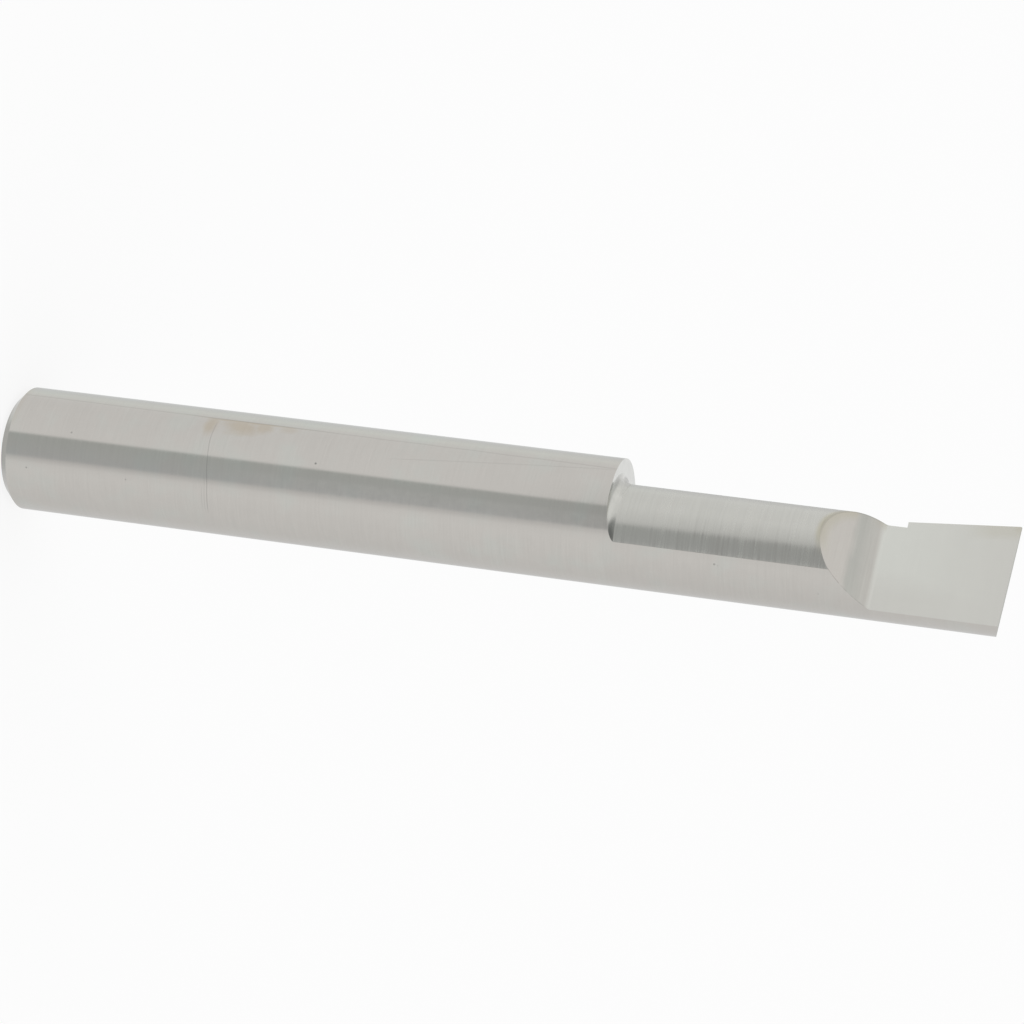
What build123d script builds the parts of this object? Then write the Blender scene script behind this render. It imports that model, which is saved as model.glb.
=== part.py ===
from build123d import *
from math import cos, radians, sin, tan
import os

# Solid carbide boring bar, right hand, ground from one round blank.
# Millimetres and degrees. The bar is shaped as it is ground, with +X along the shank axis to the
# cutting end, +Y towards the cutting corner and the rake face up. It is then stood on its back end:
# the shank axis becomes +Z, the rake face looks towards -Y and the cutting corner towards -X. The
# origin is the centre of the back face throughout.

# Shank
shank_diameter = 6.35
shank_length = 32.0
overall_length = 51.45
back_chamfer = 0.46

# Neck, ground about an axis of its own that lies away from the cutting corner
neck_diameter = 5.19
neck_offset = 0.8
shoulder_fillet = 0.55

# Head: the cutting corner, its two edges and the narrow land below them
head_length = 5.44
corner_reach = 2.66
corner_radius = 0.08
back_taper = 5.6
end_edge_angle = 2.1
land_relief = 8.0

# Heel, the rounder grind under the land that keeps the head clear of a small bore
heel_radius = 3.25
heel_offset = 0.48
heel_rise = 0.6

# Rake face, level with the shank axis, and the ramp that leads chips out of it
rake_length = 6.42
ramp_angle = 45.0
ramp_foot_radius = 0.3

# Where the grinding frame's own axes point once the bar stands on its back end
standing = Plane(origin=(0, 0, 0), x_dir=(0, 0, 1), z_dir=(0, -1, 0))

shank_radius = shank_diameter / 2
neck_radius = neck_diameter / 2
neck_end = overall_length - head_length
ramp_foot = overall_length - rake_length
clear_of_blank = shank_diameter


def blank():
    """Round blank with the chamfer at its back end."""
    half_section = Polyline(
        (0, 0),
        (0, shank_radius - back_chamfer),
        (back_chamfer, shank_radius),
        (overall_length, shank_radius),
        (overall_length, 0),
        close=True,
    )
    return revolve(Plane.XZ * make_face(half_section), Axis.X)


def neck_waste():
    """Ring ground away about the neck's axis, with the wheel's corner radius at the shoulder."""
    fillet_end = shank_length + shoulder_fillet
    fillet_top = neck_radius + shoulder_fillet
    outline = Line((shank_length, clear_of_blank), (shank_length, fillet_top))
    outline += CenterArc((fillet_end, fillet_top), shoulder_fillet, 180, 90)
    outline += Polyline(
        (fillet_end, neck_radius),
        (neck_end, neck_radius),
        (neck_end, clear_of_blank),
        (shank_length, clear_of_blank),
    )
    neck_centre = (0, -neck_offset, 0)
    neck_plane = Plane(origin=neck_centre, x_dir=(1, 0, 0), z_dir=(0, -1, 0))
    return revolve(neck_plane * make_face(outline), Axis(neck_centre, (1, 0, 0)))


def head_planform():
    """Outline of the head seen square to the rake face, bounded by its side edge and its end edge."""
    reach = overall_length
    side_lean = radians(back_taper)
    end_lean = radians(end_edge_angle)
    side_edge_back = (
        overall_length - reach * cos(side_lean),
        corner_reach - reach * sin(side_lean),
    )
    end_edge_back = (
        overall_length - reach * sin(end_lean),
        corner_reach - reach * cos(end_lean),
    )
    far_corner = (side_edge_back[0], end_edge_back[1])
    corner = (overall_length, corner_reach)
    planform = make_face(Polyline(corner, side_edge_back, far_corner, end_edge_back, close=True))
    nose = planform.vertices().sort_by_distance(corner)[0]
    return fillet(nose, corner_radius)


def land_form():
    """Everything inside the land, which leans in below the side edge, the corner and the end edge."""
    return extrude(head_planform(), amount=-clear_of_blank, taper=land_relief)


def heel_form():
    """Eccentric cylinder that leans in towards the neck by the back taper."""
    lean = radians(back_taper)
    centre = (overall_length, -heel_offset, heel_rise)
    form_plane = Plane(origin=centre, z_dir=(cos(lean), sin(lean), 0))
    return form_plane * Cylinder(heel_radius, 2 * overall_length)


def head_waste():
    """Stock around the head that lies outside the land or the heel."""
    stock = Pos(neck_end, 0, 0) * Box(
        overall_length,
        2 * clear_of_blank,
        2 * clear_of_blank,
        align=(Align.MIN, Align.CENTER, Align.CENTER),
    )
    return stock - (land_form() & heel_form())


def gullet_waste():
    """Stock above the rake face and its ramp, with the wheel's corner radius at the ramp's foot."""
    rise = clear_of_blank
    run = rise / tan(radians(ramp_angle))
    outline = Polyline(
        (ramp_foot, 0),
        (overall_length + clear_of_blank, 0),
        (overall_length + clear_of_blank, rise),
        (ramp_foot - run, rise),
        close=True,
    )
    section = make_face(outline)
    foot = section.vertices().sort_by_distance((ramp_foot, 0))[0]
    section = fillet(foot, ramp_foot_radius)
    return extrude(Plane.XZ * section, amount=clear_of_blank, both=True)


def boring_bar():
    """The finished bar, stood on its back end."""
    bar = blank() - gullet_waste() - neck_waste() - head_waste()
    return standing * bar


os.makedirs("parts", exist_ok=True)
export_step(boring_bar(), "parts/boring_bar.step")
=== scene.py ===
"""A ground carbide boring bar on its back end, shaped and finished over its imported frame."""

import math
from types import SimpleNamespace

import bpy
import numpy as np
from mathutils import Matrix, Vector


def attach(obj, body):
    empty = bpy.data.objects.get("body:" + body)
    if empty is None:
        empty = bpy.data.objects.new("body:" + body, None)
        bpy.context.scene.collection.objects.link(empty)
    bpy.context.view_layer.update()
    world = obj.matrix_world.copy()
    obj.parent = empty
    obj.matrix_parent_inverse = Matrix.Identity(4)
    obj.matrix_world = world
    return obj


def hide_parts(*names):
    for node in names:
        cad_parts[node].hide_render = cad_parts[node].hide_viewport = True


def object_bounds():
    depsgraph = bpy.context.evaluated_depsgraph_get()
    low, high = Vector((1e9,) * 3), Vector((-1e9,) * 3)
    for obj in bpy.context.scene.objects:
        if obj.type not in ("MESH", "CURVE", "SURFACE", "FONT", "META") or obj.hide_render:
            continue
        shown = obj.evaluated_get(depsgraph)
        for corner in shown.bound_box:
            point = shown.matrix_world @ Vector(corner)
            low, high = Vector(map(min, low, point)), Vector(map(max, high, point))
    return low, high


bl_info = {
    "name": "Ground carbide boring bar",
    "version": (1, 0, 0),
    "blender": (4, 5, 0),
    "location": "View3D > Sidebar > Boring Bar",
    "description": "Shapes a solid carbide boring bar, finishes it and sets its studio",
    "category": "Object",
}

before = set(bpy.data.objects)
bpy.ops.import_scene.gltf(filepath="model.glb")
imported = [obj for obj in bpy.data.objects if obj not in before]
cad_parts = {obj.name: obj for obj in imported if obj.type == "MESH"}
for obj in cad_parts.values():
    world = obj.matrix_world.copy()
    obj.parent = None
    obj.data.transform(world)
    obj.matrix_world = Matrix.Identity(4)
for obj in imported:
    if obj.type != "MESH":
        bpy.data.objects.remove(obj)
CAD_LOW, CAD_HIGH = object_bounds()

MM = 0.001
DEGREES = 180.0 / math.pi
QUARTER_TURN = math.pi / 2


# ---------------------------------------------------------------- node trees as expressions


class Link:
    """A node's output socket that takes part in arithmetic, each operation adding its Math node."""

    def __init__(self, socket):
        self.socket = socket
        self.tree = socket.id_data

    @staticmethod
    def node(tree, kind, settings=None, inputs=None, output=0):
        """Any node: its settings go in first, then the values or links of its sockets."""
        made = tree.nodes.new(kind)
        for name, value in (settings or {}).items():
            if name == "stops":
                Link.set_stops(made.color_ramp.elements, value)
            else:
                setattr(made, name, value)
        for key, value in (inputs or {}).items():
            for item in value if isinstance(value, list) else [value]:
                if isinstance(item, Link):
                    tree.links.new(item.socket, made.inputs[key])
                else:
                    made.inputs[key].default_value = item
        return Link(made.outputs[output])

    @staticmethod
    def set_stops(elements, stops):
        """Ramp stops from (place, colour or grey level) pairs."""
        while len(elements) < len(stops):
            elements.new(1.0)
        for element, (place, level) in zip(elements, stops):
            element.position = place
            element.color = (*(level if isinstance(level, tuple) else (level, level, level)), 1.0)

    def out(self, name):
        """Another output of the same node."""
        return Link(self.socket.node.outputs[name])

    def math(self, operation, *operands):
        """A Math node on these operands, in their order."""
        settings, inputs = {"operation": operation}, dict(enumerate(operands))
        return Link.node(self.tree, "ShaderNodeMath", settings, inputs)

    def __add__(self, other):
        return self.math("ADD", self, other)

    def __radd__(self, other):
        return self.math("ADD", other, self)

    def __sub__(self, other):
        return self.math("SUBTRACT", self, other)

    def __rsub__(self, other):
        return self.math("SUBTRACT", other, self)

    def __mul__(self, other):
        return self.math("MULTIPLY", self, other)

    def __rmul__(self, other):
        return self.math("MULTIPLY", other, self)

    def __truediv__(self, other):
        return self.math("DIVIDE", self, other)

    def __rtruediv__(self, other):
        return self.math("DIVIDE", other, self)

    def __neg__(self):
        return self.math("MULTIPLY", self, -1.0)

    def __pow__(self, other):
        return self.math("POWER", self, other)

    def __abs__(self):
        return self.math("ABSOLUTE", self)

    def __lt__(self, other):
        return self.math("LESS_THAN", self, other)

    def __gt__(self, other):
        return self.math("GREATER_THAN", self, other)

    def sin(self):
        return self.math("SINE", self)

    def cos(self):
        return self.math("COSINE", self)

    def tan(self):
        return self.math("TANGENT", self)

    def limited(self):
        """Held between 0 and 1."""
        return Link.node(self.tree, "ShaderNodeClamp", None, {0: self})

    def larger(self, other):
        """The greater of two."""
        return self.math("MAXIMUM", self, other)

    def scaled(self, amount):
        """A colour or vector made this many times as strong."""
        inputs = {0: self, 3: amount}
        return Link.node(self.tree, "ShaderNodeVectorMath", {"operation": "SCALE"}, inputs)

    def length_with(self, other):
        """The hypotenuse on these two sides."""
        return (self * self + other * other) ** 0.5

    def between(self, start, end, soft=True):
        """0 at start, 1 at end and beyond, eased when soft."""
        settings = {"interpolation_type": "SMOOTHSTEP" if soft else "LINEAR"}
        return Link.node(self.tree, "ShaderNodeMapRange", settings, {0: self, 1: start, 2: end})

    def fading(self, start, end):
        """1 up to start, easing to 0 at end and beyond."""
        return 1.0 - self.between(start, end)

    def span(self, fade_in, fade_out):
        """1 between two places, easing in over the first pair of limits and out over the second."""
        return self.between(*fade_in) * self.fading(*fade_out)

    def xyz(self):
        """The three parts of a vector."""
        made = Link.node(self.tree, "ShaderNodeSeparateXYZ", None, {0: self})
        return made, made.out("Y"), made.out("Z")

    def tinted(self, other, amount):
        """This colour, moved towards another by an amount."""
        if not isinstance(other, Link):
            other = (*other, 1.0)
        inputs = {0: amount, 6: self, 7: other}
        return Link.node(self.tree, "ShaderNodeMix", {"data_type": "RGBA"}, inputs, 2)

    def ends_in(self, kind, key):
        """Ends the tree: this goes into an output node."""
        sink = self.tree.nodes.new(kind)
        self.tree.links.new(self.socket, sink.inputs[key])


def vector(tree, x, y, z):
    """Three parts joined."""
    return Link.node(tree, "ShaderNodeCombineXYZ", None, {0: x, 1: y, 2: z})


def cleared(owner):
    """The empty node tree of a material or a world."""
    owner.use_nodes = True
    owner.node_tree.nodes.clear()
    return owner.node_tree


# ---------------------------------------------------------------- what a user would change


def a_length(name, description, default_mm):
    """A size property, given in millimetres and kept in metres."""
    return bpy.props.FloatProperty(
        name=name,
        description=description,
        default=default_mm * MM,
        min=0.0,
        precision=6,
        unit="LENGTH",
    )


def an_angle(name, description, default_degrees):
    """An angle property, given in degrees and kept in radians."""
    radians = math.radians(default_degrees)
    return bpy.props.FloatProperty(
        name=name, description=description, default=radians, subtype="ANGLE"
    )


def a_colour(name, description, default):
    """A colour property in linear light."""
    return bpy.props.FloatVectorProperty(
        name=name,
        description=description,
        default=default,
        size=3,
        min=0.0,
        max=1.0,
        subtype="COLOR",
    )


class BoringBarSizes(bpy.types.PropertyGroup):
    """The driving sizes of the bar, as its grinder would set them."""

    shank_diameter: a_length(
        "Shank diameter", "Diameter of the round shank that the holder grips", 6.35
    )
    shank_length: a_length("Shank length", "Back face to the shoulder", 32.0)
    overall_length: a_length("Overall length", "Back face to the cutting corner", 51.45)
    back_chamfer: a_length("Back chamfer", "Width of the chamfer round the back face", 0.46)
    neck_diameter: a_length("Neck diameter", "Diameter of the neck about its own axis", 5.19)
    neck_offset: a_length(
        "Neck offset", "How far the neck's axis lies from the shank's, away from the corner", 0.8
    )
    shoulder_fillet: a_length(
        "Shoulder fillet", "Wheel corner radius where the neck meets the shoulder", 0.55
    )
    head_length: a_length("Head length", "Length of the head past the neck", 5.44)
    corner_reach: a_length("Corner reach", "Shank axis to the cutting corner", 2.66)
    corner_radius: a_length("Corner radius", "Radius of the cutting corner", 0.08)
    back_taper: an_angle("Back taper", "Lean of the side edge back from the corner", 5.6)
    end_edge_angle: an_angle("End edge angle", "Lean of the end edge back from the corner", 2.1)
    land_relief: an_angle("Land relief", "Lean of the faces below the cutting edges", 8.0)
    heel_radius: a_length("Heel radius", "Radius of the eccentric grind under the land", 3.25)
    heel_offset: a_length(
        "Heel offset", "Heel's centre from the shank axis, away from the corner", 0.48
    )
    heel_rise: a_length("Heel rise", "Heel's centre above the rake face", 0.6)
    rake_length: a_length("Rake length", "Cutting end to the foot of the ramp", 6.42)
    ramp_angle: an_angle("Ramp angle", "Slope of the ramp at the back of the rake face", 45.0)
    ramp_foot_radius: a_length(
        "Ramp foot radius", "Wheel corner radius where the ramp meets the rake face", 0.3
    )
    round_segments: bpy.props.IntProperty(
        name="Round segments",
        description="Facets round each ground cylinder",
        default=576,
        min=32,
        max=1440,
    )


class CarbideFinish(bpy.types.PropertyGroup):
    """The look of the ground carbide."""

    bare: a_colour("Bare carbide", "Reflected colour of the ground shank", (0.515, 0.497, 0.468))
    cool: a_colour(
        "Cool cast", "Cooler colour that comes and goes on the ground metal", (0.500, 0.508, 0.478)
    )
    neck: a_colour("Neck", "Cooler colour of the neck and its flare", (0.532, 0.530, 0.498))
    rake: a_colour(
        "Rake face", "Pale, cool colour of the finely ground rake face", (0.608, 0.614, 0.576)
    )
    rake_far: a_colour(
        "Rake face at its end", "Warmer colour of the rake face towards its edges",
        (0.560, 0.553, 0.520),
    )
    ramp: a_colour(
        "Ramp", "Colour of the ramp where the wheel first touches it", (0.530, 0.508, 0.474)
    )
    ramp_low: a_colour(
        "Ramp near its foot", "Greyer colour of the ramp's lower half", (0.440, 0.440, 0.408)
    )
    burn: a_colour(
        "Wheel burn", "Straw cast where the wheel ran warm at an edge", (0.470, 0.445, 0.355)
    )
    stain: a_colour("Stain", "Brown bloom left by dried coolant", (0.470, 0.425, 0.356))
    mark: a_colour("Mark", "Colour of a scratch or a pit", (0.240, 0.240, 0.225))
    roughness: bpy.props.FloatProperty(
        name="Roughness", description="Sheen of the ground shank", default=0.11, min=0.0, max=1.0
    )
    neck_roughness: bpy.props.FloatProperty(
        name="Neck roughness",
        description="Sheen of the coarser grind on the neck",
        default=0.20,
        min=0.0,
        max=1.0,
    )


class StudioSettings(bpy.types.PropertyGroup):
    """The tent of light, the floor and the camera."""

    floor_colour: a_colour("Floor", "Pale floor under the bar", (1.0, 1.0, 1.0))
    camera_place: bpy.props.FloatVectorProperty(
        name="Camera place",
        description="Where the camera stands",
        default=(82.663 * MM, -123.624 * MM, 66.411 * MM),
        size=3,
        precision=6,
        subtype="TRANSLATION",
        unit="LENGTH",
    )
    azimuth: an_angle(
        "Azimuth", "Camera's bearing round the bar, from the rake face's own side", 33.7
    )
    elevation: an_angle("Elevation", "Camera's height above the horizon", 15.0107)
    roll: an_angle("Roll", "Camera's turn about its own line of sight", 97.2143)
    lens: bpy.props.FloatProperty(
        name="Lens",
        description="Focal length on a 36 mm sensor",
        default=108.785,
        min=1.0,
        unit="CAMERA",
    )


# ---------------------------------------------------------------- the bar's form

# Vertices nearer than this become one, in metres
WELD = 1e-7
# Steps round the shoulder's fillet, the cutting corner and the ramp's foot
FILLET_STEPS, CORNER_STEPS, FOOT_STEPS = 20, 8, 12
# No turn and no move
NOUGHT = (0.0, 0.0, 0.0)
# Turn that lays a cylinder down along X
LAID_DOWN = (0.0, QUARTER_TURN, 0.0)


def cylinder(tree, segments, radius, depth, rings=1):
    """A capped cylinder along Z from its foot at the origin, with its vertex places."""
    made = Link.node(
        tree,
        "GeometryNodeMeshCylinder",
        None,
        {"Vertices": segments, "Side Segments": rings, "Radius": radius, "Depth": depth},
    )
    return moved(tree, made, (0.0, 0.0, depth * 0.5))


def moved(tree, mesh, place, turn=NOUGHT):
    """The mesh turned about the origin, then carried to a place."""
    place, turn = (vector(tree, *v) for v in (place, turn))
    inputs = {"Geometry": mesh, "Translation": place, "Rotation": turn}
    return Link.node(tree, "GeometryNodeTransform", None, inputs)


def replaced(tree, mesh, place):
    """The mesh with every vertex set to a computed place."""
    return Link.node(tree, "GeometryNodeSetPosition", None, {"Geometry": mesh, "Position": place})


def without(tree, stock, *wastes):
    """Stock with the wastes ground away."""
    return Link.node(
        tree,
        "GeometryNodeMeshBoolean",
        {"operation": "DIFFERENCE", "solver": "EXACT"},
        {"Mesh 1": stock, "Mesh 2": list(wastes)},
    )


def common(tree, *solids):
    """What lies inside all the solids."""
    return Link.node(
        tree,
        "GeometryNodeMeshBoolean",
        {"operation": "INTERSECT", "solver": "EXACT"},
        {"Mesh 2": list(solids)},
    )


def prism(tree, corners, radius, arc_steps, sweep):
    """Four corners in the XY plane, the first rounded, filled and swept into a solid."""
    index = Link.node(tree, "GeometryNodeInputIndex")
    points = {f"Point {n}": vector(tree, x, y, 0.0) for n, (x, y) in enumerate(corners, 1)}
    outline = Link.node(tree, "GeometryNodeCurvePrimitiveQuadrilateral", {"mode": "POINTS"}, points)
    rounded = Link.node(
        tree,
        "GeometryNodeFilletCurve",
        {"mode": "POLY"},
        {"Curve": outline, "Radius": (index < 0.5) * radius, "Count": arc_steps},
    )
    face = Link.node(tree, "GeometryNodeFillCurve", {"mode": "NGONS"}, {"Curve": rounded})
    swept = Link.node(
        tree,
        "GeometryNodeExtrudeMesh",
        {"mode": "FACES"},
        {"Mesh": face, "Offset": sweep, "Offset Scale": 1.0, "Individual": False},
    )
    back = Link.node(tree, "GeometryNodeFlipFaces", None, {"Mesh": face})
    shell = Link.node(tree, "GeometryNodeJoinGeometry", None, {"Geometry": [swept, back]})
    return welded(tree, shell)


def welded(tree, mesh):
    """The mesh with its doubled vertices made one."""
    inputs = {"Geometry": mesh, "Distance": WELD}
    return Link.node(tree, "GeometryNodeMergeByDistance", None, inputs)


def grow_blank(tree, size):
    """The round blank with its back chamfer, along Z."""
    radius = size["shank_diameter"] * 0.5
    long, chamfer = size["overall_length"], size["back_chamfer"]
    stock = cylinder(tree, size["round_segments"], radius, long, 2)
    x, y, z = Link.node(tree, "GeometryNodeInputPosition").xyz()
    # Of its three rings, the foot's shrinks and the middle one comes down to the chamfer's edge
    at_foot = z < long * 0.25
    at_middle = (z < long * 0.75) - at_foot
    shrink = 1.0 - at_foot * chamfer / radius
    place = vector(tree, x * shrink, y * shrink, z - at_middle * (long * 0.5 - chamfer))
    return replaced(tree, stock, place)


def grow_neck_core(tree, size, clear):
    """What the neck's wheel leaves: the neck and its flare into the shoulder, along Z."""
    radius = size["neck_diameter"] * 0.5
    fillet = size["shoulder_fillet"]
    run = size["overall_length"]
    rings = FILLET_STEPS + 2
    core = cylinder(tree, size["round_segments"], radius, run, rings)
    x, y, z = Link.node(tree, "GeometryNodeInputPosition").xyz()
    ring = z / run * float(rings)
    turn = ((ring - 1.0) / float(FILLET_STEPS)).limited() * QUARTER_TURN
    swell = 1.0 + fillet * (1.0 - turn.sin()) / radius
    along = size["shank_length"] + fillet * (1.0 - turn.cos())
    # The first ring lies well back in the shank and the last well past the neck
    along = along + clear * ((ring > rings - 0.5) * 4.0 - (ring < 0.5))
    return replaced(tree, core, vector(tree, x * swell, y * swell, along))


def lean_land(tree, size, clear):
    """The land: the planform of the two cutting edges, swept down while it leans in below them."""
    reach, long, taper, end = (
        size[k] for k in ("corner_reach", "overall_length", "back_taper", "end_edge_angle")
    )
    side_back = (long - long * taper.cos(), reach - long * taper.sin())
    end_back = (long - long * end.sin(), reach - long * end.cos())
    corners = [(long, reach), side_back, (side_back[0], end_back[1]), end_back]
    lean = clear * size["land_relief"].tan() / (taper + end).cos()
    back, across = -lean * (end.sin() + taper.cos()), -lean * (taper.sin() + end.cos())
    sweep = vector(tree, back, across, -clear)
    return prism(tree, corners, size["corner_radius"], CORNER_STEPS, sweep)


def open_gullet(tree, size, clear):
    """The wheel's path over the rake face and up its ramp, with the rounded foot."""
    foot = size["overall_length"] - size["rake_length"]
    far = size["overall_length"] + clear
    run = clear / size["ramp_angle"].tan()
    corners = [(foot, 0.0), (far, 0.0), (far, clear), (foot - run, clear)]
    sweep = vector(tree, 0.0, 0.0, 2.0 * clear)
    solid = prism(tree, corners, size["ramp_foot_radius"], FOOT_STEPS, sweep)
    return moved(tree, solid, (0.0, clear, 0.0), (QUARTER_TURN, 0.0, 0.0))


def grow_heel(tree, size):
    """The eccentric cylinder under the land, leaning in towards the neck by the back taper."""
    long, taper = size["overall_length"], size["back_taper"]
    heel = cylinder(tree, size["round_segments"], size["heel_radius"], long * 2.0)
    back = long * 1.5
    foot = (
        long - back * taper.cos(),
        -size["heel_offset"] - back * taper.sin(),
        size["heel_rise"],
    )
    return moved(tree, heel, foot, (0.0, QUARTER_TURN, taper))


def grow_tree(sizes):
    """The tree that grinds the bar along X from its sizes, then stands it on its back end.

    With it come the values of its inputs by socket identifier, None for the material.
    """
    tree = bpy.data.node_groups.new("boring_bar_form", "GeometryNodeTree")
    socket_ids = {}
    size = {}
    source = tree.nodes.new("NodeGroupInput")
    for name, prop in sizes.bl_rna.properties.items():
        if name in ("rna_type", "name"):
            continue
        kind = "NodeSocketInt" if prop.type == "INT" else "NodeSocketFloat"
        item = tree.interface.new_socket(prop.name, in_out="INPUT", socket_type=kind)
        socket_ids[item.identifier] = getattr(sizes, name)
        size[name] = Link(source.outputs[prop.name])
    item = tree.interface.new_socket("Material", in_out="INPUT", socket_type="NodeSocketMaterial")
    socket_ids[item.identifier] = None
    tree.interface.new_socket("Geometry", in_out="OUTPUT", socket_type="NodeSocketGeometry")

    clear, long, neck_start = size["shank_diameter"], size["overall_length"], size["shank_length"]
    neck_end = long - size["head_length"]
    off_centre = -size["neck_offset"]

    blank = moved(tree, grow_blank(tree, size), NOUGHT, LAID_DOWN)
    ring = cylinder(tree, size["round_segments"], clear, neck_end - neck_start)
    ring = moved(tree, ring, (neck_start, off_centre, 0.0), LAID_DOWN)
    core = moved(tree, grow_neck_core(tree, size, clear), (0.0, off_centre, 0.0), LAID_DOWN)
    neck_waste = without(tree, ring, core)

    stock_size = vector(tree, long, clear * 2.0, clear * 2.0)
    stock = Link.node(tree, "GeometryNodeMeshCube", None, {"Size": stock_size})
    stock = moved(tree, stock, (neck_end + long * 0.5, 0.0, 0.0))
    head = common(tree, lean_land(tree, size, clear), grow_heel(tree, size))
    head_waste = without(tree, stock, head)

    bar = without(tree, blank, open_gullet(tree, size, clear), neck_waste, head_waste)
    x, y, z = Link.node(tree, "GeometryNodeInputPosition").xyz()
    bar = welded(tree, replaced(tree, bar, vector(tree, -y, -z, x)))
    bar = Link.node(tree, "GeometryNodeRealizeInstances", None, {"Geometry": bar})
    inputs = {"Geometry": bar, "Material": Link(source.outputs["Material"])}
    bar = Link.node(tree, "GeometryNodeSetMaterial", None, inputs)
    bar.ends_in("NodeGroupOutput", "Geometry")
    return tree, socket_ids


def plain_mesh(name, tree, socket_ids, material):
    """The tree's result as an object with a plain mesh and no modifier."""
    empty = bpy.data.meshes.new(name)
    holder = bpy.data.objects.new(name, empty)
    bpy.context.collection.objects.link(holder)
    modifier = holder.modifiers.new("form", "NODES")
    modifier.node_group = tree
    for identifier, value in socket_ids.items():
        modifier[identifier] = material if value is None else value
    evaluated = holder.evaluated_get(bpy.context.evaluated_depsgraph_get())
    mesh = bpy.data.meshes.new_from_object(evaluated)
    holder.modifiers.remove(modifier)
    holder.data = mesh
    bpy.data.meshes.remove(empty)
    mesh.name = name
    return holder


class GroundSurfaces:
    """The bar's curved surfaces in mm, lying down: X along the axis, Z out of the rake face."""

    names = ("shank", "chamfer", "neck", "fillet", "heel", "foot")
    # A facet lies on a surface when it is this near to it and faces nearly the same way
    near, facing = 2e-3, 0.98
    # A fillet's arc ends within this slack, and a point beyond it counts as this far away
    slack, elsewhere = 1e-3, 9.0

    def __init__(self, sizes):
        self.size = {
            name: getattr(sizes, name) / (MM if prop.unit == "LENGTH" else 1.0)
            for name, prop in sizes.bl_rna.properties.items()
            if prop.type in {"FLOAT", "INT"}
        }

    @staticmethod
    def unit(v):
        """Each row at length 1."""
        return v / np.maximum(np.linalg.norm(v, axis=1, keepdims=True), 1e-12)

    def measure(self, name, p):
        """How far each point lies from a surface, and that surface's outward normal there."""
        s = self.size
        x, y, z = p.T
        nought = np.zeros_like(x)
        if name == "shank":
            normal = self.unit(np.column_stack([nought, y, z]))
            return np.hypot(y, z) - s["shank_diameter"] / 2, normal
        if name == "chamfer":
            radial = self.unit(np.column_stack([nought, y, z]))
            gap = np.hypot(y, z) - (s["shank_diameter"] / 2 - s["back_chamfer"] + x)
            return gap / math.sqrt(2), (radial + [-1, 0, 0]) / math.sqrt(2)
        if name in ("neck", "fillet"):
            far = np.hypot(y + s["neck_offset"], z)
            radial = self.unit(np.column_stack([nought, y + s["neck_offset"], z]))
            if name == "neck":
                return far - s["neck_diameter"] / 2, radial
            r = s["shoulder_fillet"]
            in_x = s["shank_length"] + r - x
            in_r = s["neck_diameter"] / 2 + r - far
            toward = radial * in_r[:, None] + np.column_stack([in_x, nought, nought])
            beyond = (in_x < -self.slack) | (in_r < -self.slack)
            return np.where(beyond, self.elsewhere, np.hypot(in_x, in_r) - r), self.unit(toward)
        if name == "heel":
            lean = s["back_taper"]
            axis = np.array([math.cos(lean), math.sin(lean), 0.0])
            rel = p - [s["overall_length"], -s["heel_offset"], s["heel_rise"]]
            out = rel - np.outer(rel @ axis, axis)
            return np.linalg.norm(out, axis=1) - s["heel_radius"], self.unit(out)
        r = s["ramp_foot_radius"]
        foot = s["overall_length"] - s["rake_length"]
        centre_x = foot + r * math.tan(s["ramp_angle"] / 2)
        toward = np.column_stack([centre_x - x, nought, r - z])
        beyond = (x > centre_x + self.slack) | (z > r)
        gap = np.where(beyond, self.elsewhere, np.hypot(centre_x - x, r - z) - r)
        return gap, self.unit(toward)


def laid_down(v):
    """Rows of standing coordinates as the bar lies to be ground."""
    return np.column_stack([v[:, 2], -v[:, 0], -v[:, 1]])


def stood_up(v):
    """Rows of lying coordinates as the finished bar stands."""
    return np.column_stack([-v[:, 1], -v[:, 2], v[:, 0]])


def read(items, name, width, kind=float):
    """One attribute of a mesh's items, as rows of this width."""
    values = np.empty(len(items) * width, kind)
    items.foreach_get(name, values)
    return values.reshape(-1, width) if width > 1 else values


def true_normals(mesh, sizes):
    """Gives every face corner the exact normal of the surface that it was ground to."""
    surfaces = GroundSurfaces(sizes)
    points = laid_down(read(mesh.vertices, "co", 3) / MM)
    facet = laid_down(read(mesh.polygons, "normal", 3))
    corner = read(mesh.loops, "vertex_index", 1, int)
    sides = read(mesh.polygons, "loop_total", 1, int)
    starts = np.concatenate([[0], np.cumsum(sides)[:-1]])
    owner = np.repeat(np.arange(len(sides)), sides)

    known = np.zeros(len(sides), bool)
    normal = facet[owner]
    for name in surfaces.names:
        gap, out = surfaces.measure(name, points)
        worst = np.maximum.reduceat(np.abs(gap[corner]), starts)
        agree = np.minimum.reduceat(np.einsum("ij,ij->i", out[corner], facet[owner]), starts)
        found = (worst < surfaces.near) & (agree > surfaces.facing) & ~known
        known |= found
        normal = np.where(found[owner][:, None], out[corner], normal)
    mesh.polygons.foreach_set("use_smooth", np.ones(len(sides), bool))
    mesh.normals_split_custom_set(stood_up(normal).tolist())


# ---------------------------------------------------------------- the ground finish, with painted light and shade

# Lengths are in millimetres, bearings in degrees round the bar from the rake face's side, and a
# pair of numbers is where a fade starts and ends, unless a comment says otherwise.

# How far below the blank's surface a point counts as ground away, and the slack at the edges of
# the ground faces
SKIN, SLACK = 0.004, 0.002
# Heights above the rake face: where the gullet's faces end below it, where the ramp begins, and
# where the rake face's finish gives way on the radius at the ramp's foot
GULLET_BOTTOM, RAMP_BOTTOM, RAKE_FADE = -0.003, 0.02, (0.0, 0.28)
# How far past the ramp's top the gullet is looked for
GULLET_MARGIN = 0.1
# The shoulder: how far its finish reaches before and past its face, and where that of the face
# itself gives way
SHOULDER, SHOULDER_FACE = (-0.01, 0.5), (0.004, 0.012)
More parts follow.
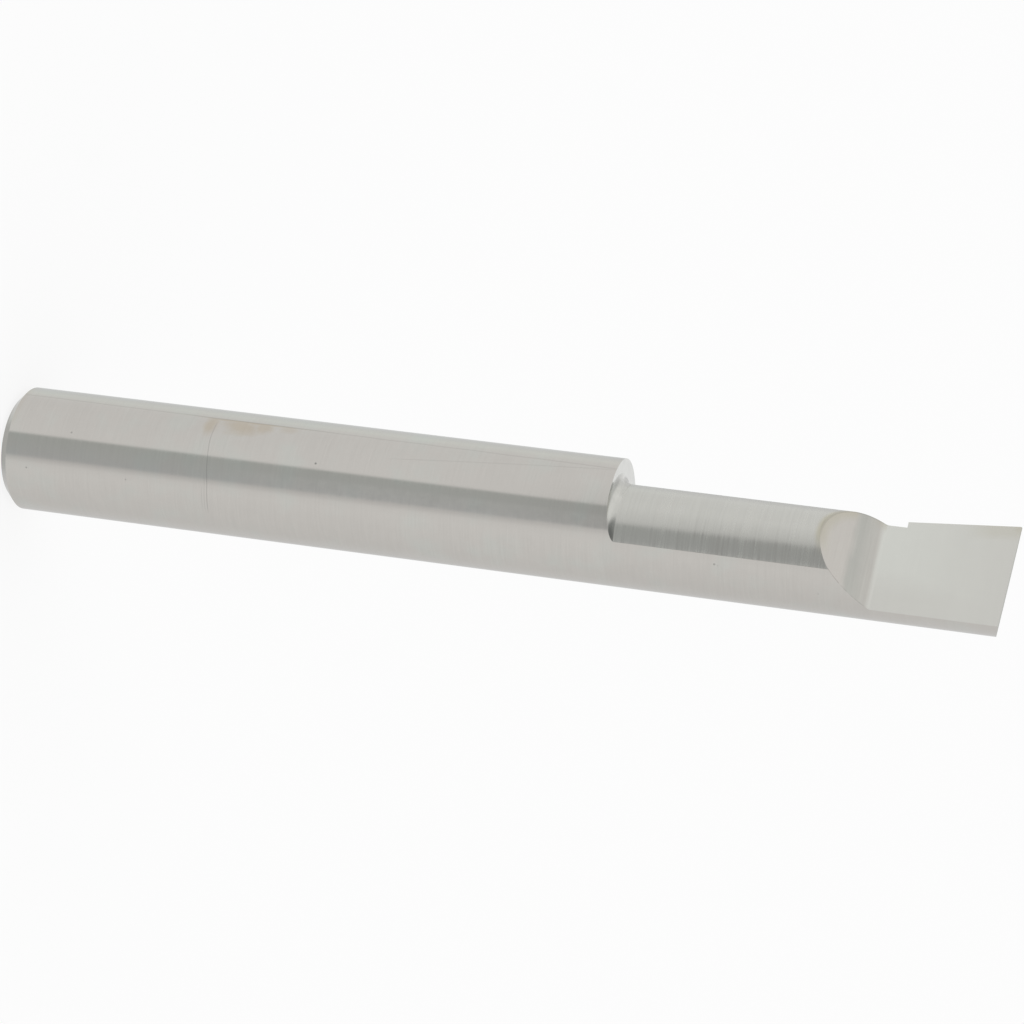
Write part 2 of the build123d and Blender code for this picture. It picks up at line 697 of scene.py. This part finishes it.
# Where the shank's finish begins, past the edge of the back face
SHANK_START = 0.1

# Grind lines: noise stretched to a length round the bar and one along it, and its detail
FINE_GRIND, COARSE_GRIND, SLOW_GRIND = (2.4, 0.09, 2.0), (4.0, 0.12, 2.5), (14.0, 2.6, 1.0)
# Noise without direction: its size and its detail
CLOUD, MOTTLE, STAIN_EDGE = (1.6, 2.0), (0.5, 3.0), (0.55, 3.0)
# Streaks down the ramp: how many to the metre across it and along it, and their detail
RAMP_STREAKS = (160.0, 5200.0, 2.0)

# Pits: along the bar, degrees round it, radius, depth
PITS = (
    (16.99, 15.2, 0.075, 0.9),
    (3.84, 14.6, 0.07, 0.5),
    (1.62, 52.3, 0.07, 0.5),
    (7.08, 51.7, 0.06, 0.4),
    (37.55, 60.5, 0.08, 0.5),
    (37.72, 61.4, 0.05, 0.2),
    (42.62, 77.7, 0.06, 0.25),
)
# The share of a pit's radius that is flat
PIT_FLOOR = 0.45
# The seam line: bearing at the back face, degrees for each mm along, waver, half width, depth, and
# how much deeper it is about one place
SEAM_START, SEAM_SLOPE, SEAM_WAVER, SEAM_WIDTH = -25.1, 0.143, 0.10, (0.02, 0.08)
SEAM_DEPTH, SEAM_DEEPER, SEAM_DEEPEST, SEAM_DEEP_REACH = 0.15, 0.14, 13.2, (2.0, 5.0)
# The spiral scratch: the same, and where along the shank it fades in
SPIRAL_START, SPIRAL_SLOPE, SPIRAL_WIDTH = 38.2, -1.78, (0.02, 0.06)
SPIRAL_FROM, SPIRAL_DEPTH = (20.0, 22.0), 0.10
# The hairline ring: where along, how far it drifts over which bearings, half width, the bearings
# between which it shows, and its depth
RING_PLACE, RING_DRIFT, RING_DRIFTS, RING_WIDTH = 11.21, 0.25, (4.0, 46.0), (0.01, 0.04)
RING_IN, RING_OUT, RING_DEPTH = (-20.0, -12.0), (66.0, 80.0), 0.32
# Its echoes: how much nearer the back end, bearing where each starts, depth; and how they fade
RING_ECHOES = ((0.14, 34.0, 0.13), (0.28, 44.0, 0.10))
ECHO_FADE, ECHO_OUT = 12.0, (66.0, 76.0)

# Patches of stain: along, below the seam line, half length, half width, strength
STAINS = (
    (10.95, 0.55, 0.40, 0.75, 0.85),
    (12.6, 0.45, 1.05, 0.65, 0.9),
    (13.7, 0.35, 0.60, 0.50, 0.8),
    (15.0, 0.20, 0.60, 0.35, 0.45),
    (12.9, 0.02, 2.90, 0.18, 1.0),
)
# How ragged the patches are, their soft edge, and the edge that the seam line gives them
STAIN_RAGGED, STAIN_FADE, STAIN_SEAM = 0.8, (0.25, 1.3), (-0.05, 0.03)

# The greyer lower half of the ramp: its ragged edge by height, and how it deepens
RAMP_LOW, RAMP_RAGGED, RAMP_DEEPENS = (0.98, 1.44), 0.45, (0.1, 1.0)
# The rake face: warmer along the bar and towards its far edge; straw by the side edge, near the
# tip, and round the corner
WARM_ALONG, WARM_ACROSS = (45.6, 51.2), (0.2, 2.4)
STRAW_SIDE, STRAW_ALONG, STRAW_CORNER = (0.35, 1.0), (48.6, 50.2), (0.2, 0.75)
# Heat tint on both sides of the ramp's rim: depth inside the neck, distance from the ramp, and
# across the bar
HEAT_INSIDE, HEAT_OUTSIDE, HEAT_ACROSS = (0.55, 0.05), (0.05, 0.26), (-2.2, -0.8)
# Painted shade along the same rim, on both sides of it
RIM_SHADE_INSIDE, RIM_SHADE_OUTSIDE, RIM_SHADE_ACROSS = (0.07, 0.03), (0.03, 0.10), (-1.5, -0.3)
# The rim where the ramp meets the bar's back: depth inside the blank, across the bar, and the
# coarse grind that breaks it up
BRINK_INSIDE, BRINK_ACROSS, BRINK_BROKEN = (0.07, 0.01), (-0.9, 0.2), (0.10, 0.40)
# Painted light, mottled, lifting the shank's dark reflection band: its bearing, half width, and
# where along it fades in
BAND_LIFT_TURN, BAND_LIFT_WIDTH, BAND_LIFT_ALONG = 36.0, (4.0, 9.0), (9.0, 20.0)
# Where the shank grows a little lighter towards the shoulder
SHANK_LIGHTENS = (8.0, 18.0)
# The lit side of the back end: its bearing, its warm tint of painted light and its chamfer's
# painted light and shade along the bar
LIT_SIDE, BACK_CAST, CHAMFER_LIT = (8.0, 16.0), (0.5, 0.8), (0.10, 0.22)
# Painted shade in a line along the end edge
END_EDGE_SHADE = (0.015, 0.05)
# Touches of light round the shoulder's fillet: bearings where each fades in and out, strength
FILLET_GLINTS = (((0.0, 6.0), (46.0, 54.0), 0.09), ((22.0, 28.0), (31.0, 37.0), 0.08))
# Its dark corner: bearings, and depth inside the blank. Its dark arch: bearings where it fades in
# and out, and past the shoulder. The shaded part of the shoulder's face: bearings
CORNER_TURN, CORNER_INSIDE = (24.0, 36.0), (0.16, 0.02)
ARCH_IN, ARCH_OUT, ARCH_ALONG = (-46.0, -36.0), (-26.0, 6.0), (0.18, 0.30)
FACE_SHADED = (26.0, 32.0)

# The relief of the grain: its strength and depth. The least roughness anywhere
BUMP_STRENGTH, BUMP_DEPTH, LEAST_ROUGHNESS = 0.3, 0.002, 0.05


def noise(tree, place, scale, detail):
    """Noise about nought."""
    inputs = {"Vector": place, "Scale": scale, "Detail": detail}
    return Link.node(tree, "ShaderNodeTexNoise", None, inputs) - 0.5


def grind_lines(at, across_mm, along_mm, detail):
    """Streaks that run round the bar: noise stretched to these lengths round it and along it."""
    x, y, z = at.place.xyz()
    stretched = vector(at.tree, x / (across_mm * MM), y / (across_mm * MM), z / (along_mm * MM))
    return noise(at.tree, stretched, 1.0, detail)


def clouds(at, size_mm, detail):
    """Noise of this size without direction."""
    return noise(at.tree, at.place, 1.0 / (size_mm * MM), detail)


def within(far, radius, depths):
    """0 at the first depth inside this radius, 1 at the second and beyond."""
    deep, shallow = depths
    return far.between(radius - deep, radius - shallow)


def ground_places(tree, sizes):
    """Where a point of the bar lies, and how far it is on each ground face."""
    mm = {
        name: getattr(sizes, name) / MM
        for name, prop in sizes.bl_rna.properties.items()
        if prop.type == "FLOAT" and prop.unit == "LENGTH"
    }
    place = Link.node(tree, "ShaderNodeTexCoord", output=3)
    x, y, z = place.xyz()
    along, across, above = z / MM, -x / MM, -y / MM
    shoulder, tip = mm["shank_length"], mm["overall_length"]
    foot = tip - mm["rake_length"]
    radius = mm["shank_diameter"] / 2
    turn = x.math("ARCTAN2", x, -y) * DEGREES
    far = across.length_with(above)

    sunk = far < radius - SKIN
    in_gullet = (along + above > foot - SLACK) * (above > GULLET_BOTTOM)
    in_gullet = in_gullet * (along > foot - radius - GULLET_MARGIN)
    on_neck = sunk * (along > shoulder + SLACK) * (along < tip - mm["head_length"])
    on_face = sunk * abs(along - shoulder).fading(*SHOULDER_FACE)
    on_shoulder = sunk * (along > shoulder + SHOULDER[0]) * (along < shoulder + SHOULDER[1])

    end, side = sizes.end_edge_angle, sizes.back_taper
    from_tip, from_reach = tip - along, mm["corner_reach"] - across
    return SimpleNamespace(
        tree=tree,
        place=place,
        along=along,
        across=across,
        above=above,
        turn=turn,
        far=far,
        radius=radius,
        arc=math.radians(1.0) * radius,
        neck_far=(across + mm["neck_offset"]).length_with(above),
        neck_radius=mm["neck_diameter"] / 2,
        past_shoulder=along - shoulder,
        to_end=from_tip * math.cos(end) - from_reach * math.sin(end),
        to_side=from_reach * math.cos(side) - from_tip * math.sin(side),
        to_ramp=(foot - along - above) / math.sqrt(2),
        sunk=sunk,
        in_gullet=in_gullet,
        on_neck=on_neck * (1.0 - in_gullet),
        on_ramp=in_gullet * (above > RAMP_BOTTOM),
        on_rake=in_gullet * (1.0 - above.between(*RAKE_FADE)),
        under_rake=(along > foot) * (above < GULLET_BOTTOM),
        on_shank=(along < shoulder) * (along > SHANK_START),
        on_back_chamfer=1.0 - (along > mm["back_chamfer"]),
        on_face=on_face,
        on_shoulder=on_shoulder,
        on_fillet=on_shoulder * (1.0 - on_face),
        lit_side=turn.fading(*LIT_SIDE),
    )


def ground_grains(at):
    """The grains of the metal, as noise about nought, and the ramp's ragged lower half."""
    x, _, z = at.place.xyz()
    across, along, detail = RAMP_STREAKS
    cloud = clouds(at, *CLOUD)
    return SimpleNamespace(
        fine=grind_lines(at, *FINE_GRIND),
        coarse=grind_lines(at, *COARSE_GRIND),
        slow=grind_lines(at, *SLOW_GRIND),
        cloud=cloud,
        mottle=clouds(at, *MOTTLE),
        down=noise(at.tree, vector(at.tree, x * across, 0.0, z * along), 1.0, detail),
        low=(at.above + cloud * RAMP_RAGGED).fading(*RAMP_LOW),
    )


def shank_marks(at, waver):
    """Scratches and pits on the shank by depth, 0 to 1, and the distance from the seam line."""
    along, turn, arc = at.along, at.turn, at.arc
    seam = (turn - (along * SEAM_SLOPE + SEAM_START)) * arc + waver
    depth = SEAM_DEPTH + SEAM_DEEPER * abs(along - SEAM_DEEPEST).fading(*SEAM_DEEP_REACH)
    marks = abs(seam).fading(*SEAM_WIDTH) * depth
    spiral = abs((turn - (along * SPIRAL_SLOPE + SPIRAL_START)) * arc)
    marks = marks + spiral.fading(*SPIRAL_WIDTH) * along.between(*SPIRAL_FROM) * SPIRAL_DEPTH
    off_ring = along - (turn.between(*RING_DRIFTS, False) * RING_DRIFT + RING_PLACE)
    marks = marks + abs(off_ring).fading(*RING_WIDTH) * turn.span(RING_IN, RING_OUT) * RING_DEPTH
    for back, start, depth in RING_ECHOES:
        echo = abs(off_ring + back).fading(*RING_WIDTH)
        marks = marks + echo * turn.span((start, start + ECHO_FADE), ECHO_OUT) * depth
    for place_along, place_turn, radius, depth in PITS:
        away = (along - place_along).length_with((turn - place_turn) * arc)
        marks = marks.larger(away.fading(radius * PIT_FLOOR, radius) * depth)
    return marks, seam


def coolant_stain(at, seam):
    """Brown bloom under the seam line, in a few soft patches."""
    ragged = clouds(at, *STAIN_EDGE) * STAIN_RAGGED
    bloom = None
    for centre, below, half_along, half_round, strength in STAINS:
        along = (at.along - centre) * (1.0 / half_along)
        around = (seam - below) * (1.0 / half_round)
        patch = (along.length_with(around) + ragged).fading(*STAIN_FADE) * strength
        bloom = patch if bloom is None else bloom.larger(patch)
    return bloom * seam.between(*STAIN_SEAM) * at.on_shank


def rake_colour(finish, at, grain):
    """The rake face: pale, warmer towards its ends, straw by the side edge and the corner."""
    warm = (at.along + grain.cloud * 2.0).between(*WARM_ALONG, False) * 0.85
    warm = warm.larger((grain.cloud - at.across).between(*WARM_ACROSS) * 0.75)
    by_side = at.to_side.fading(*STRAW_SIDE) * at.along.between(*STRAW_ALONG) * 0.30
    by_corner = at.to_side.length_with(at.to_end).fading(*STRAW_CORNER) * 0.5
    colour = vector(at.tree, *finish.rake).tinted(finish.rake_far, warm)
    return colour.tinted(finish.burn, by_side.larger(by_corner))


def ramp_rim_heat(at, grey):
    """Heat tint where the ramp cuts into the neck, on both sides of that edge."""
    on_ramp = within(at.neck_far, at.neck_radius, HEAT_INSIDE) * at.on_ramp
    on_ramp = on_ramp * (1.0 - grey * 1.3).limited() * 0.55
    on_neck = at.to_ramp.fading(*HEAT_OUTSIDE) * at.on_neck * 0.75
    return on_ramp.larger(on_neck) * at.across.between(*HEAT_ACROSS)


def metal_colour(finish, at, grain, bloom):
    """The colour of each ground face, with its casts, heat tint, stain and painted warm light."""
    grey = grain.low * (0.30 + at.above.between(*RAMP_DEEPENS, False) * 0.70)
    cast = (grain.cloud + grain.slow * 0.6).between(-0.05, 0.35) * 0.85
    colour = vector(at.tree, *finish.bare).tinted(finish.cool, cast)
    colour = colour.tinted(finish.neck, at.on_neck * (1.0 - grain.cloud.between(0.0, 0.3) * 0.5))
    ramp = vector(at.tree, *finish.ramp).tinted(finish.ramp_low, grey)
    colour = colour.tinted(ramp, at.on_ramp).tinted(rake_colour(finish, at, grain), at.on_rake)
    colour = colour.tinted(finish.burn, ramp_rim_heat(at, grey))
    # A warm tint of painted light on the lit side of the back end, in the stain's colour
    by_back = at.lit_side * at.along.fading(*BACK_CAST) * 0.22
    colour = colour.tinted(finish.stain, bloom).tinted(finish.stain, by_back)
    return colour.tinted(finish.cool, at.on_face * 0.8)


def grain_shade(at, grain):
    """How the grains lighten and darken each face, with painted light on the shank's dark band."""
    shade = grain.fine * 0.085 * (1.0 - at.on_rake * 0.7)
    shade = shade + grain.slow * 0.045 + grain.cloud * 0.03 + grain.mottle * 0.045
    # Painted light: a mottled lightening laid along the shank's dark reflection band
    band_lift = abs(at.turn - BAND_LIFT_TURN).fading(*BAND_LIFT_WIDTH) * at.along.between(*BAND_LIFT_ALONG)
    band_lift = band_lift * (1.0 - at.sunk)
    shade = shade + band_lift * (0.05 + grain.mottle * 0.16)
    shade = shade + at.along.between(*SHANK_LIGHTENS) * at.on_shank * 0.012
    shade = shade + grain.coarse * at.on_neck * 0.19 + grain.down * at.on_rake * 0.03
    shade = shade + grain.down * at.on_ramp * (0.02 + grain.low * 0.13)
    return shade + (grain.mottle * 0.22 - 0.03) * at.on_shoulder


def shoulder_shade(at):
    """Light and shade on the shoulder's face and round its fillet."""
    corner = within(at.far, at.radius, CORNER_INSIDE) * at.turn.between(*CORNER_TURN)
    arch = at.turn.span(ARCH_IN, ARCH_OUT) * at.past_shoulder.fading(*ARCH_ALONG)
    shade = at.on_face * at.turn.between(*FACE_SHADED) * -0.32
    for fade_in, fade_out, strength in FILLET_GLINTS:
        shade = shade + at.on_fillet * at.turn.span(fade_in, fade_out) * strength
    return shade - at.on_fillet * corner * 0.35 - at.on_fillet * arch * 0.14


def edge_shade(at, grain):
    """Painted light and shade on the back chamfer, the end edge, the ramp's rims and under the rake
    face.
    """
    # Painted light and shade on the back chamfer's lit side
    lit = at.lit_side * (at.along.between(*CHAMFER_LIT) * 0.22 - 0.07)
    # Painted shade along the end edge of the rake face
    end_edge = at.to_end.fading(*END_EDGE_SHADE) * at.on_rake * 0.15
    brink = within(at.far, at.radius, BRINK_INSIDE) * at.on_ramp * at.across.fading(*BRINK_ACROSS)
    brink = brink * (grain.coarse + 0.25).between(*BRINK_BROKEN) * 0.26
    # Painted shade in a line along the rim where the ramp cuts into the neck
    rim_shade = within(at.neck_far, at.neck_radius, RIM_SHADE_INSIDE) * at.on_ramp * 0.13
    rim_shade = rim_shade.larger(at.to_ramp.fading(*RIM_SHADE_OUTSIDE) * at.on_neck * 0.13)
    rim_shade = rim_shade * at.across.between(*RIM_SHADE_ACROSS)
    # The faces under the rake face get painted light
    return at.on_back_chamfer * lit + at.under_rake * 0.03 - end_edge - brink - rim_shade


def ground_carbide(finish, sizes):
    """Cemented carbide as the wheels leave it: grind lines, colour casts, a little wear, painted
    light and shade.
    """
    material = bpy.data.materials.new("ground_carbide")
    tree = cleared(material)
    at = ground_places(tree, sizes)
    grain = ground_grains(at)
    marks, seam = shank_marks(at, grain.cloud * SEAM_WAVER)
    colour = metal_colour(finish, at, grain, coolant_stain(at, seam))
    shade = grain_shade(at, grain) + shoulder_shade(at) + edge_shade(at, grain)
    colour = colour.scaled(shade + 1.0)
    colour = colour.tinted(finish.mark, marks.limited() * (1.0 - at.sunk))

    height = grain.fine * (1.0 - at.in_gullet) + grain.coarse * at.on_neck * 0.3
    height = height + grain.mottle * 0.1
    bump = {"Strength": BUMP_STRENGTH, "Distance": BUMP_DEPTH * MM, "Height": height}
    coarser = finish.neck_roughness - finish.roughness + grain.coarse * 0.45
    rough = finish.roughness + at.on_neck * coarser
    rough = rough + at.on_rake * 0.08 + grain.fine * 0.14 + grain.mottle * 0.10
    inputs = {
        "Base Color": colour,
        "Metallic": 1.0,
        "Roughness": rough.larger(LEAST_ROUGHNESS),
        "Normal": Link.node(tree, "ShaderNodeBump", None, bump),
    }
    shader = Link.node(tree, "ShaderNodeBsdfPrincipled", None, inputs)
    shader.ends_in("ShaderNodeOutputMaterial", "Surface")
    return material


# ---------------------------------------------------------------- studio

# Light round the tent by bearing from the camera in degrees: level, or red, green and blue.
# White cloth all round, greyer behind the bar, with a dark opening by the camera.
LOW_LIGHT = (
    (-180.0, 0.74),
    (-155.0, (0.77, 0.79, 0.79)),
    (-130.0, (0.97, 1.00, 0.98)),
    (-112.0, 0.97),
    (-28.5, 1.01),
    (-24.5, (0.60, 0.63, 0.62)),
    (14.0, (0.63, 0.65, 0.66)),
    (19.0, 0.81),
    (28.0, 0.98),
    (40.0, 1.01),
    (92.0, 0.95),
    (136.0, 0.87),
    (160.0, 0.75),
    (180.0, 0.74),
)
HIGH_LIGHT = (
    (-180.0, 0.66),
    (-158.0, 0.72),
    (-130.0, 0.99),
    (-70.0, 1.01),
    (-35.0, 0.78),
    (-25.0, 0.50),
    (14.0, 0.51),
    (18.0, 0.96),
    (50.0, 1.02),
    (92.0, 0.95),
    (136.0, 0.87),
    (180.0, 0.68),
)
# Heights and bearings are in degrees, and a pair of numbers is where a fade starts and ends.
# Heights over which the low light gives way to the high light
LIGHT_CHANGE = (-14.0, -12.0)
# The dark opening above the horizon: bearings, heights, light
OPENING_IN, OPENING_OUT, OPENING_HEIGHT = (-46.0, -28.0), (8.0, 18.0), (-5.0, 5.0)
OPENING_LIGHT = (0.31, 0.32, 0.32)
# The bright panel: bearing, half width, heights, light
PANEL_BEARING, PANEL_WIDTH = -115.0, (18.0, 38.0)
PANEL_BOTTOM, PANEL_TOP, PANEL_LIGHT = (10.0, 20.0), (36.0, 46.0), (1.08, 1.08, 1.08)
# Plain white overhead, and grey under the floor's level
OVERHEAD, WHITE = (50.0, 75.0), (1.0, 1.0, 1.0)
UNDERFOOT, UNDERFOOT_LIGHT = (50.0, 62.0), (0.64, 0.65, 0.64)
# Behind the bar: bearings on either side, then a bright strip with a greyer one above it
BEHIND, BEHIND_BOTTOM = (130.0, 155.0), (2.0, 8.0)
BRIGHT_TOP, BRIGHT_LIGHT = (20.0, 26.0), (1.09, 1.09, 1.10)
GREYER_BOTTOM, GREYER_TOP, GREYER_LIGHT = (23.0, 29.0), (50.0, 70.0), (0.76, 0.77, 0.77)

# Half the floor's side, in metres, and how much of its own white it shows the camera: the rest is
# lit, and keeps the shadow
FLOOR_HALF, FLOOR_WHITE = 2.0, 0.82
# The camera: sensor in millimetres, half a pixel of shift, and its nearest and furthest sight in
# metres
SENSOR, HALF_PIXEL, SIGHT = 36.0, 0.5 / 1024, (0.005, 20.0)


def by_bearing(bearing, stops):
    """The tent's light at a bearing."""
    places = [((degrees + 180.0) / 360.0, level) for degrees, level in stops]
    inputs = {0: bearing / 360.0 + 0.5}
    return Link.node(bearing.tree, "ShaderNodeValToRGB", {"stops": places}, inputs)


def light_tent(studio):
    """An even tent of light with a darker opening by the camera; plain white to the camera."""
    world = bpy.data.worlds.new("light_tent")
    tree = cleared(world)
    x, y, z = Link.node(tree, "ShaderNodeTexCoord").xyz()
    bearing = x.math("ARCTAN2", x, -y) - studio.azimuth
    bearing = bearing.math("WRAP", bearing, math.pi, -math.pi) * DEGREES
    height = z.math("ARCSINE", z) * DEGREES

    high = by_bearing(bearing, HIGH_LIGHT)
    light = by_bearing(bearing, LOW_LIGHT).tinted(high, height.between(*LIGHT_CHANGE))
    opening = bearing.span(OPENING_IN, OPENING_OUT) * height.between(*OPENING_HEIGHT)
    light = light.tinted(OPENING_LIGHT, opening)
    panel = abs(bearing - PANEL_BEARING).fading(*PANEL_WIDTH) * height.span(PANEL_BOTTOM, PANEL_TOP)
    light = light.tinted(PANEL_LIGHT, panel).tinted(WHITE, height.between(*OVERHEAD))
    behind = abs(bearing).between(*BEHIND) * height.between(*BEHIND_BOTTOM)
    light = light.tinted(BRIGHT_LIGHT, behind * height.fading(*BRIGHT_TOP))
    light = light.tinted(GREYER_LIGHT, behind * height.span(GREYER_BOTTOM, GREYER_TOP))
    light = light.tinted(UNDERFOOT_LIGHT, (-height).between(*UNDERFOOT))

    to_camera = Link.node(tree, "ShaderNodeLightPath")
    inputs = {"Color": light.tinted(WHITE, to_camera), "Strength": 1.0}
    background = Link.node(tree, "ShaderNodeBackground", None, inputs)
    background.ends_in("ShaderNodeOutputWorld", "Surface")
    bpy.context.scene.world = world


def pale_floor(studio):
    """A plain pale floor that keeps a soft shadow."""
    material = bpy.data.materials.new("pale_floor")
    tree = cleared(material)
    pale = (*studio.floor_colour, 1.0)
    matt = Link.node(tree, "ShaderNodeBsdfDiffuse", None, {"Color": pale})
    glow = Link.node(tree, "ShaderNodeEmission", None, {"Color": pale, "Strength": 1.0})
    to_camera = Link.node(tree, "ShaderNodeLightPath") * FLOOR_WHITE
    mixed = Link.node(tree, "ShaderNodeMixShader", None, {0: to_camera, 1: matt, 2: glow})
    mixed.ends_in("ShaderNodeOutputMaterial", "Surface")

    mesh = bpy.data.meshes.new("studio_floor")
    sides = ((-1, -1), (1, -1), (1, 1), (-1, 1))
    corners = [(x * FLOOR_HALF, y * FLOOR_HALF, CAD_LOW.z) for x, y in sides]
    mesh.from_pydata(corners, [], [(0, 1, 2, 3)])
    mesh.materials.append(material)
    floor = bpy.data.objects.new("studio_floor", mesh)
    bpy.context.collection.objects.link(floor)
    floor.visible_glossy = False
    return floor


def place_camera(studio):
    """The camera at its bearing, height and roll."""
    lens = bpy.data.cameras.new("studio_camera")
    lens.sensor_width = SENSOR
    lens.lens = studio.lens
    lens.shift_x, lens.shift_y = -HALF_PIXEL, HALF_PIXEL
    lens.clip_start, lens.clip_end = SIGHT
    camera = bpy.data.objects.new("studio_camera", lens)
    bpy.context.collection.objects.link(camera)
    turn = (
        Matrix.Rotation(studio.azimuth, 4, "Z")
        @ Matrix.Rotation(QUARTER_TURN - studio.elevation, 4, "X")
        @ Matrix.Rotation(studio.roll, 4, "Z")
    )
    camera.matrix_world = Matrix.Translation(Vector(studio.camera_place)) @ turn
    bpy.context.scene.camera = camera


# ---------------------------------------------------------------- operators, panel and main


class BORINGBAR_OT_grind_bar(bpy.types.Operator):
    """Grind the bar to its sizes, give it its finish and put it in the frame node's place"""

    bl_idname = "boring_bar.grind_bar"
    bl_label = "Grind the bar"

    def execute(self, context):
        scene = context.scene
        material = ground_carbide(scene.carbide_finish, scene.boring_bar_sizes)
        tree, socket_ids = grow_tree(scene.boring_bar_sizes)
        bar = plain_mesh("ground_boring_bar", tree, socket_ids, material)
        if not bar.data.polygons:
            raise RuntimeError("the bar's node tree gave no faces")
        true_normals(bar.data, scene.boring_bar_sizes)
        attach(bar, "root")
        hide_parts("boring_bar")
        return {"FINISHED"}


class BORINGBAR_OT_set_studio(bpy.types.Operator):
    """Set the light tent, the floor and the camera"""

    bl_idname = "boring_bar.set_studio"
    bl_label = "Set the studio"

    def execute(self, context):
        studio = context.scene.studio_settings
        light_tent(studio)
        pale_floor(studio)
        place_camera(studio)
        context.scene.view_settings.view_transform = "Standard"
        return {"FINISHED"}


class BORINGBAR_PT_tools(bpy.types.Panel):
    """The bar's sizes, finish and studio, with the buttons that make them"""

    bl_label = "Boring Bar"
    bl_idname = "BORINGBAR_PT_tools"
    bl_space_type = "VIEW_3D"
    bl_region_type = "UI"
    bl_category = "Boring Bar"

    def draw(self, context):
        scene = context.scene
        for group, operator in (
            ((scene.boring_bar_sizes, scene.carbide_finish), BORINGBAR_OT_grind_bar),
            ((scene.studio_settings,), BORINGBAR_OT_set_studio),
        ):
            box = self.layout.box()
            for settings in group:
                for name in settings.__annotations__:
                    box.prop(settings, name)
            box.operator(operator.bl_idname)


CLASSES = (
    BoringBarSizes,
    CarbideFinish,
    StudioSettings,
    BORINGBAR_OT_grind_bar,
    BORINGBAR_OT_set_studio,
    BORINGBAR_PT_tools,
)


def register():
    """Adds the classes and the scene's three groups of settings."""
    for cls in CLASSES:
        bpy.utils.register_class(cls)
    bpy.types.Scene.boring_bar_sizes = bpy.props.PointerProperty(type=BoringBarSizes)
    bpy.types.Scene.carbide_finish = bpy.props.PointerProperty(type=CarbideFinish)
    bpy.types.Scene.studio_settings = bpy.props.PointerProperty(type=StudioSettings)


def unregister():
    """Takes them away again."""
    del bpy.types.Scene.studio_settings
    del bpy.types.Scene.carbide_finish
    del bpy.types.Scene.boring_bar_sizes
    for cls in reversed(CLASSES):
        bpy.utils.unregister_class(cls)


def main():
    """Registers the classes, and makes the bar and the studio."""
    register()
    bpy.ops.boring_bar.grind_bar()
    bpy.ops.boring_bar.set_studio()


if __name__ == "__main__":
    main()
